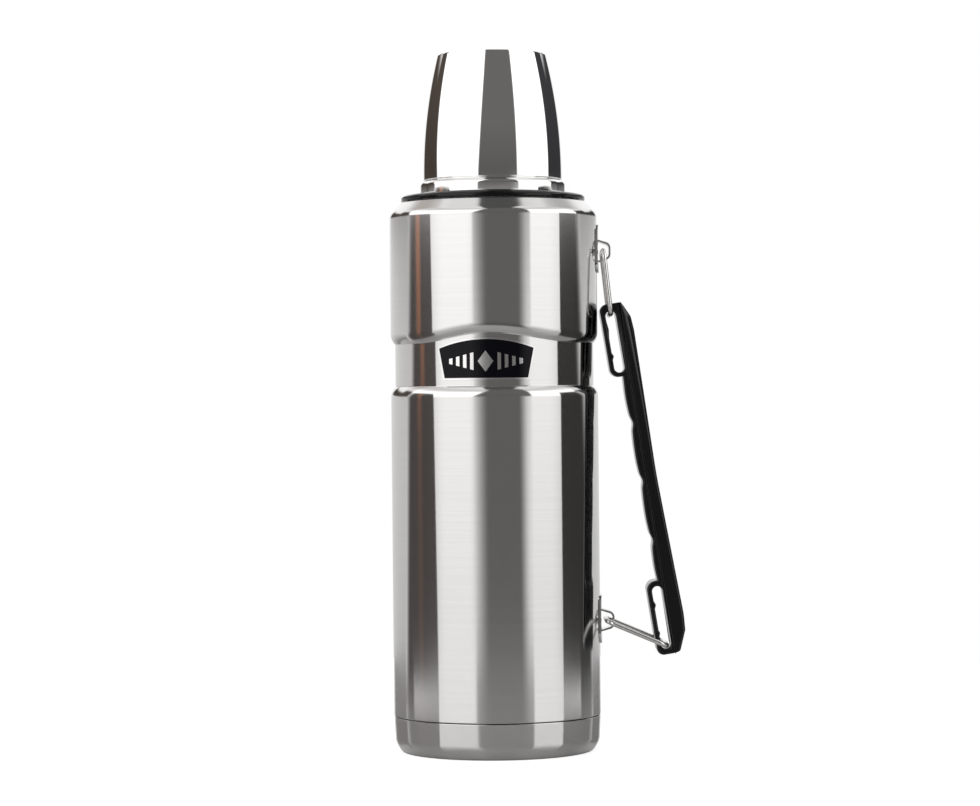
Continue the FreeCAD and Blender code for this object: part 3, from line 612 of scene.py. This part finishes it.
def make_flag(name, x, near, far, softness, level, tint, glint_y=None):
    """Upright dark screen beside the flask, seen only in reflections, which fades out at its far edge.

    near and far are the edges, each as (place at floor level, lean with height). glint_y places a warm
    glint, which is stronger higher up.
    """
    material, tree, shader = new_material(name)
    y, z = object_axes(tree)[1:3]
    dark = shade(tint, level)
    streak = noise(tree, (8, 30, 4), 2.0)
    colour = blend_colour(tree, streak, shade(dark, 0.8), dark)
    if glint_y is not None:
        off = calculate(tree, "ABSOLUTE", calculate(tree, "SUBTRACT", y, glint_y))
        strength = ranged(tree, z, GLINT_FAINT, 1.0, *GLINT_FADE)
        line = soft_step(tree, off, GLINT_HALF, GLINT_SOFT, False)
        colour = blend_colour(tree, calculate(tree, "MULTIPLY", strength, line), colour, GLINT_COLOUR)
    place = calculate(tree, "SUBTRACT", y, calculate(tree, "MULTIPLY", z, far[1]))
    colour = blend_colour(tree, soft_step(tree, place, far[0], softness, True), colour, tone(SURROUND))
    wire_up(
        tree, shader, Base_Color=(0, 0, 0, 1), Roughness=1.0, Specular_IOR_Level=0.0,
        Emission_Color=colour, Emission_Strength=1.0,
    )
    corners = []
    for edge, z in ((near, FLAG_LOW), (far, FLAG_LOW), (far, FLAG_TOP), (near, FLAG_TOP)):
        reach = softness / 2 if edge is far else 0
        corners.append((x, edge[0] + edge[1] * z + reach, z))
    flag = staged(name, corners, material)
    flag.visible_camera = False


# ---- the flask's body ----

def shell_side(inset):
    """Outer or inner side of the shell's section, from its tucked foot to its neck."""
    lean = inset * tan(radians(22.5))
    edge_r = WAIST_EDGE_R - inset
    corner_r = WAIST_CORNER_R + inset
    return [
        (TUCK_R - inset, SHELL_LOW_Z),
        (TUCK_R - inset, SEAM_LOW_Z + 0.3),
        (BODY_R - inset, SEAM_LOW_Z + 0.35, 0.25),
        (BODY_R - inset, WAIST_LOW_Z - WAIST_STEP - lean, edge_r),
        (WAIST_R - inset, WAIST_LOW_Z - lean, corner_r),
        (WAIST_R - inset, WAIST_HIGH_Z + lean, corner_r),
        (BODY_R - inset, WAIST_HIGH_Z + WAIST_STEP + lean, edge_r),
        (BODY_R - inset, SHOULDER_Z, SHOULDER_EDGE_R),
        (SHOULDER_TOP_R - inset, SHOULDER_TOP_Z - inset, 1.0),
        (NECK_OUT_R - inset, SHOULDER_TOP_Z - inset),
        (NECK_OUT_R - inset, NECK_TOP_Z),
    ]


def arch_height(r, z, angle):
    """Height of a shell vertex once the arch over the badge has lifted it."""
    off = (angle - radians(ARCH_AZIMUTH) + pi) % (2 * pi) - pi
    share = abs(off) / radians(ARCH_REACH[0] if off < 0 else ARCH_REACH[1])
    if share >= 1:
        return z
    rest_z = WAIST_LOW_Z + 3
    full_z = WAIST_HIGH_Z - 1
    edge_z = WAIST_HIGH_Z + 2.5 * WAIST_STEP
    fade_z = SHOULDER_Z - 12
    fade_low = min(1, max(0, (z - rest_z) / (full_z - rest_z)))
    fade_high = min(1, max(0, (fade_z - z) / (fade_z - edge_z)))
    return z + ARCH_RISE * cos(share * pi / 2) ** 2 * fade_low * fade_high


def make_shell():
    """Outer wall, with the waist, the arch over the badge and the shoulder."""
    outer = rounded(shell_side(0), closed=False)
    inner = rounded(shell_side(SHELL_WALL), closed=False)
    points = divided(outer + inner[::-1])
    mesh = turned("shell", points, arch_height)
    finished("shell", mesh, "flask", "brushed_body", "outer_shell")


def make_base():
    """Bottom cup, with a rounded foot round a raised centre."""
    top = SEAM_LOW_Z
    corners = [
        (0, 1.8), (33.0, 1.8, 1.0), (35.5, 0, 1.0), (42.6, 0, 2.6), (45.3, 4.6, 6.5),
        (BODY_R - 0.1, top, 0.25), (TUCK_R + 0.05, top), (TUCK_R + 0.05, 8.4), (44.5, 5.0, 4.6),
        (42.2, 0.7, 1.8), (36.2, 0.7, 0.6), (33.6, 2.5, 0.6), (0, 2.5),
    ]
    finished("base", turned("base", divided(rounded(corners))), "flask", "brushed_body", "base_cup")


# ---- the cup ----

def make_cup():
    """Drinking cup turned over as the lid: a bead, a groove, bowed sides and a shallow dish on top."""
    wall = 0.6
    foot_r = 30.75
    crown_r = 24.07
    groove_r = 30.4
    low = CUP_LOW_Z
    bead_top = low + 5.75
    groove_low = bead_top + 0.25
    groove_high = groove_low + 0.35
    bend_z = 282.25
    bend_r = 220.0
    dish_z = CUP_TOP_Z - 0.8
    corners = [
        (29.75, low), (CUP_BEAD_R, low, 0.5), (CUP_BEAD_R, bead_top, 2.0), (groove_r, groove_low, 0.15),
        (groove_r, groove_high, 0.15), (foot_r, groove_high + 0.2, 0.1), (foot_r, groove_high + 0.45),
        (foot_r, bend_z, bend_r), (crown_r, CUP_TOP_Z, 3.0),
        (20.0, CUP_TOP_Z, 0.4), (19.2, dish_z, 0.4), (0, dish_z),
        (0, dish_z - wall), (19.6, dish_z - wall, 0.3), (20.4, CUP_TOP_Z - wall, 0.3),
        (crown_r - wall, CUP_TOP_Z - wall, 2.4), (foot_r - wall, bend_z, bend_r - wall),
        (foot_r - wall, groove_high + 0.2), (groove_r - wall, groove_high - 0.2),
        (groove_r - wall, groove_low - 0.3), (CUP_BEAD_R - wall, bead_top - 0.7, 1.3),
        (CUP_BEAD_R - wall, low + wall), (29.75, low + wall),
    ]
    finished("cup", turned("cup", divided(rounded(corners))), "cup", "polished_steel", "cup_outer")


# ---- the handle ----

def joint_spot(name):
    """(x, z) of a joint in the handle's plane."""
    x, _, z = JOINTS[name]["pos_m"]
    return x / MM, z / MM


def link_end(pivot, angle):
    """Far end of a wire that hangs at an angle from straight down."""
    turn = radians(angle)
    return pivot[0] + LINK_LENGTH * sin(turn), pivot[1] - LINK_LENGTH * cos(turn)


UPPER_PIVOT = joint_spot("handle_lift")
LOWER_PIVOT = joint_spot("lower_link_turn")
UPPER_END = link_end(UPPER_PIVOT, UPPER_HANG)
LOWER_END = link_end(LOWER_PIVOT, 90 - LOWER_DROP)
GRIP_DOWN = unit(UPPER_END, LOWER_END)


def on_grip(u, v, y=0.0):
    """Point of the grip in metres: u down it from the upper wire, v out from the slots' centre line."""
    x = UPPER_END[0] + u * GRIP_DOWN[0] - v * GRIP_DOWN[1]
    z = UPPER_END[1] + u * GRIP_DOWN[1] + v * GRIP_DOWN[0]
    return Vector((x * MM, y * MM, z * MM))


def make_wire(name, pivot, end, body, node):
    """Closed loop of round wire with bent corners."""
    along = unit(pivot, end)
    corners = [
        (-LINK_HALF_WIDTH, 0, LINK_BEND_R), (-LINK_HALF_WIDTH, LINK_LENGTH, LINK_BEND_R),
        (LINK_HALF_WIDTH, LINK_LENGTH, LINK_BEND_R), (LINK_HALF_WIDTH, 0, LINK_BEND_R),
    ]
    data = bpy.data.curves.new(name, "CURVE")
    data.dimensions = "3D"
    data.bevel_depth = WIRE_R * MM
    data.bevel_resolution = 6
    points = rounded(corners)
    line = data.splines.new("POLY")
    line.points.add(len(points) - 1)
    line.use_cyclic_u = True
    for spot, (y, reach) in zip(line.points, points):
        x = pivot[0] + reach * along[0]
        z = pivot[1] + reach * along[1]
        spot.co = (x * MM, y * MM, z * MM, 1)
    finished(name, mesh_of_curve(data), body, "wire_steel", node)


def mesh_of_curve(data):
    """The mesh that a curve makes, with the curve removed."""
    holder = bpy.data.objects.new("holder", data)
    bpy.context.scene.collection.objects.link(holder)
    bpy.context.view_layer.update()
    graph = bpy.context.evaluated_depsgraph_get()
    mesh = bpy.data.meshes.new_from_object(holder.evaluated_get(graph))
    bpy.data.objects.remove(holder)
    bpy.data.curves.remove(data)
    return mesh


def split_v(u):
    """Where the grip's two halves meet."""
    return SPLIT_TOP + (SPLIT_LOW - SPLIT_TOP) * (u - GRIP_TOP) / (GRIP_LOW - GRIP_TOP)


def narrowing(u):
    """How much the grip is narrower on each side than at its ends."""
    middle = (GRIP_TOP + GRIP_LOW) / 2
    return GRIP_NARROWING * (1 - ((u - middle) / (GRIP_LOW - middle)) ** 2)


def finger_line():
    """Wavy edge under the fingers, smoothed through its ridges and notches."""
    keys = [(UPPER_LOOP_END, LOOP_NECK)]
    for notch in FINGER_NOTCHES:
        keys += [(notch - RIDGE_REACH, FINGER_RIDGE), (notch - NOTCH_REACH, FINGER_RIDGE + 0.4)]
        keys += [(notch, FINGER_NOTCH), (notch + NOTCH_REACH, FINGER_RIDGE + 0.5)]
    keys += [(FINGER_NOTCHES[-1] + RIDGE_REACH, FINGER_RIDGE + 0.1), (LOWER_LOOP_END, LOOP_NECK)]
    steps = 8
    points = []
    for i in range(len(keys) - 1):
        a, b = keys[i], keys[i + 1]
        before = keys[max(i - 1, 0)]
        after = keys[min(i + 2, len(keys) - 1)]
        reach = b[0] - a[0]
        rise_a = reach * (b[1] - before[1]) / (b[0] - before[0])
        rise_b = reach * (after[1] - a[1]) / (after[0] - a[0])
        for k in range(steps):
            t = k / steps
            share = 3 * t ** 2 - 2 * t ** 3
            bend = rise_a * (t ** 3 - 2 * t ** 2 + t) + rise_b * (t ** 3 - t ** 2)
            points.append((a[0] + reach * t, a[1] * (1 - share) + b[1] * share + bend))
    return points[1:]


def slot_outline(ends, bumps):
    """Round-ended slot with small mould bumps on its inner side."""
    low, high = ends
    r = SLOT_HALF * 0.999
    corners = [(low, -SLOT_HALF, r)]
    for u, height, half_length in bumps:
        corners += [(u - half_length, -SLOT_HALF), (u, height - SLOT_HALF, 0.8)]
        corners.append((u + half_length, -SLOT_HALF))
    corners += [(high, -SLOT_HALF, r), (high, SLOT_HALF, r), (low, SLOT_HALF, r)]
    return rounded(corners)


def make_grip_core():
    """Inner half of the grip: two slotted end loops joined by the finger edge, with soft moulded edges."""
    edge = 0.7
    half = CORE_HALF_WIDTH
    outline = rounded([
        (GRIP_TOP, SPLIT_TOP), (GRIP_TOP, LOOP_EDGE, 3.0),
        (UPPER_LOOP_END, LOOP_EDGE, 4.0), (UPPER_LOOP_END, LOOP_NECK),
    ], closed=False)
    outline += finger_line()
    outline += rounded([
        (LOWER_LOOP_END, LOOP_NECK), (LOWER_LOOP_END, LOOP_EDGE, 4.0),
        (GRIP_LOW, LOOP_EDGE, 3.0), (GRIP_LOW, SPLIT_LOW),
    ], closed=False)
    holes = [slot_outline(UPPER_SLOT, UPPER_BUMPS), slot_outline(LOWER_SLOT, LOWER_BUMPS)]
    data = bpy.data.curves.new("grip_inner", "CURVE")
    data.dimensions = "2D"
    data.fill_mode = "BOTH"
    data.extrude = half - edge
    data.bevel_depth = edge
    data.bevel_resolution = 4
    data.offset = -edge
    for points in [outline] + holes:
        line = data.splines.new("POLY")
        line.points.add(len(points) - 1)
        line.use_cyclic_u = True
        for spot, (u, v) in zip(line.points, points):
            spot.co = (u, v, 0, 1)
    mesh = mesh_of_curve(data)
    for vertex in mesh.vertices:
        u, v, y = vertex.co
        vertex.co = on_grip(u, v, y * (1 - narrowing(u) / half))
    bm = bmesh.new()
    bm.from_mesh(mesh)
    bmesh.ops.remove_doubles(bm, verts=bm.verts, dist=1e-6)
    bmesh.ops.recalc_face_normals(bm, faces=bm.faces)
    bm.to_mesh(mesh)
    bm.free()
    finished("grip_inner", mesh, "grip", "grip_black", "grip_core")


def cover_ring(u, outer_v, inset):
    """Ring of the cover's section at u: nearly square at the joint, rounded outside."""
    half = COVER_HALF_WIDTH - narrowing(u) - inset
    inner_v = split_v(u) + SPLIT_GAP + inset
    outer_v = outer_v - inset
    share = min(1, max(0, u / COVER_ROUND_END))
    rounding = COVER_ROUND_R - COVER_ROUND_LOSS * share * (2 - share)
    outer_r = min(rounding, (outer_v - inner_v) * 0.9)
    corners = [
        (-half, inner_v, COVER_EDGE_R), (half, inner_v, COVER_EDGE_R),
        (half, outer_v, outer_r), (-half, outer_v, outer_r),
    ]
    count = 10
    points = []
    for i, corner in enumerate(corners):
        back = unit(corner, corners[i - 1])
        ahead = unit(corner, corners[(i + 1) % 4])
        r = corner[2]
        centre = (corner[0] + (back[0] + ahead[0]) * r, corner[1] + (back[1] + ahead[1]) * r)
        for k in range(count + 1):
            t = k / count * pi / 2
            points.append((
                centre[0] - ahead[0] * r * cos(t) - back[0] * r * sin(t),
                centre[1] - ahead[1] * r * cos(t) - back[1] * r * sin(t),
            ))
    return [on_grip(u, v, y) for y, v in points]


def make_grip_cover():
    """Outer half of the grip: a long bowed cap with sloped ends, whose rounding fades from the top down."""
    side = rounded([
        (GRIP_TOP, 5.4), (2.3, 8.8, 3.0), (8.5, 9.3, 6.0), (73.0, 8.3, 300.0), (136.0, GRIP_OUT, 30.0),
        (143.0, 9.4, 4.0), (GRIP_LOW - 0.6, 5.7, 1.6), (GRIP_LOW, 3.8),
    ], closed=False)
    stations = []
    for a, b in zip(side, side[1:]):
        parts = parts_of(b[0] - a[0], STATION_STEP)
        for k in range(parts):
            share = k / parts
            stations.append((a[0] + (b[0] - a[0]) * share, a[1] + (b[1] - a[1]) * share))
    first_u, first_v = stations[0]
    last_u, last_v = side[-1]
    rings = [cover_ring(first_u, first_v, COVER_END_INSET)]
    rings.append(cover_ring(first_u + COVER_END_INSET, first_v, 0))
    rings += [cover_ring(u, v, 0) for u, v in stations[1:]]
    rings += [cover_ring(last_u - COVER_END_INSET, last_v + 0.1, 0), cover_ring(last_u, last_v, 0.2)]
    finished("grip_outer", lofted("grip_outer", rings), "grip", "grip_black", "grip_cover")


# ---- CAD nodes that stay ----

def dress_nodes():
    """Gives each CAD node that still shows its slot's material."""
    for part in frame["record"]["subparts"]:
        node = frame["nodes"][part["node"]]
        if node.hide_render:
            continue
        material = material_of(part["material_slot"])
        for holder in node.material_slots:
            holder.material = material
        if not node.material_slots:
            node.data.materials.append(material)


make_camera()
make_world()
make_floor()
make_flag(
    "flag_left", -FLAG_X, near=(-0.152, 0.140), far=(0.122, -0.3), softness=0.05,
    level=0.10, tint=(1.0, 0.88, 0.84), glint_y=-0.021,
)
make_flag(
    "flag_right", FLAG_X, near=(-0.092, 0.0), far=(0.205, -0.6), softness=0.07,
    level=0.050, tint=(1.0, 0.97, 0.96),
)
make_shell()
make_base()
make_cup()
make_wire("upper_wire", UPPER_PIVOT, UPPER_END, "upper_link", "upper_link")
make_wire("lower_wire", LOWER_PIVOT, LOWER_END, "lower_link", "lower_link")
make_grip_core()
make_grip_cover()
dress_nodes()

bpy.context.scene.view_settings.view_transform = "Standard"
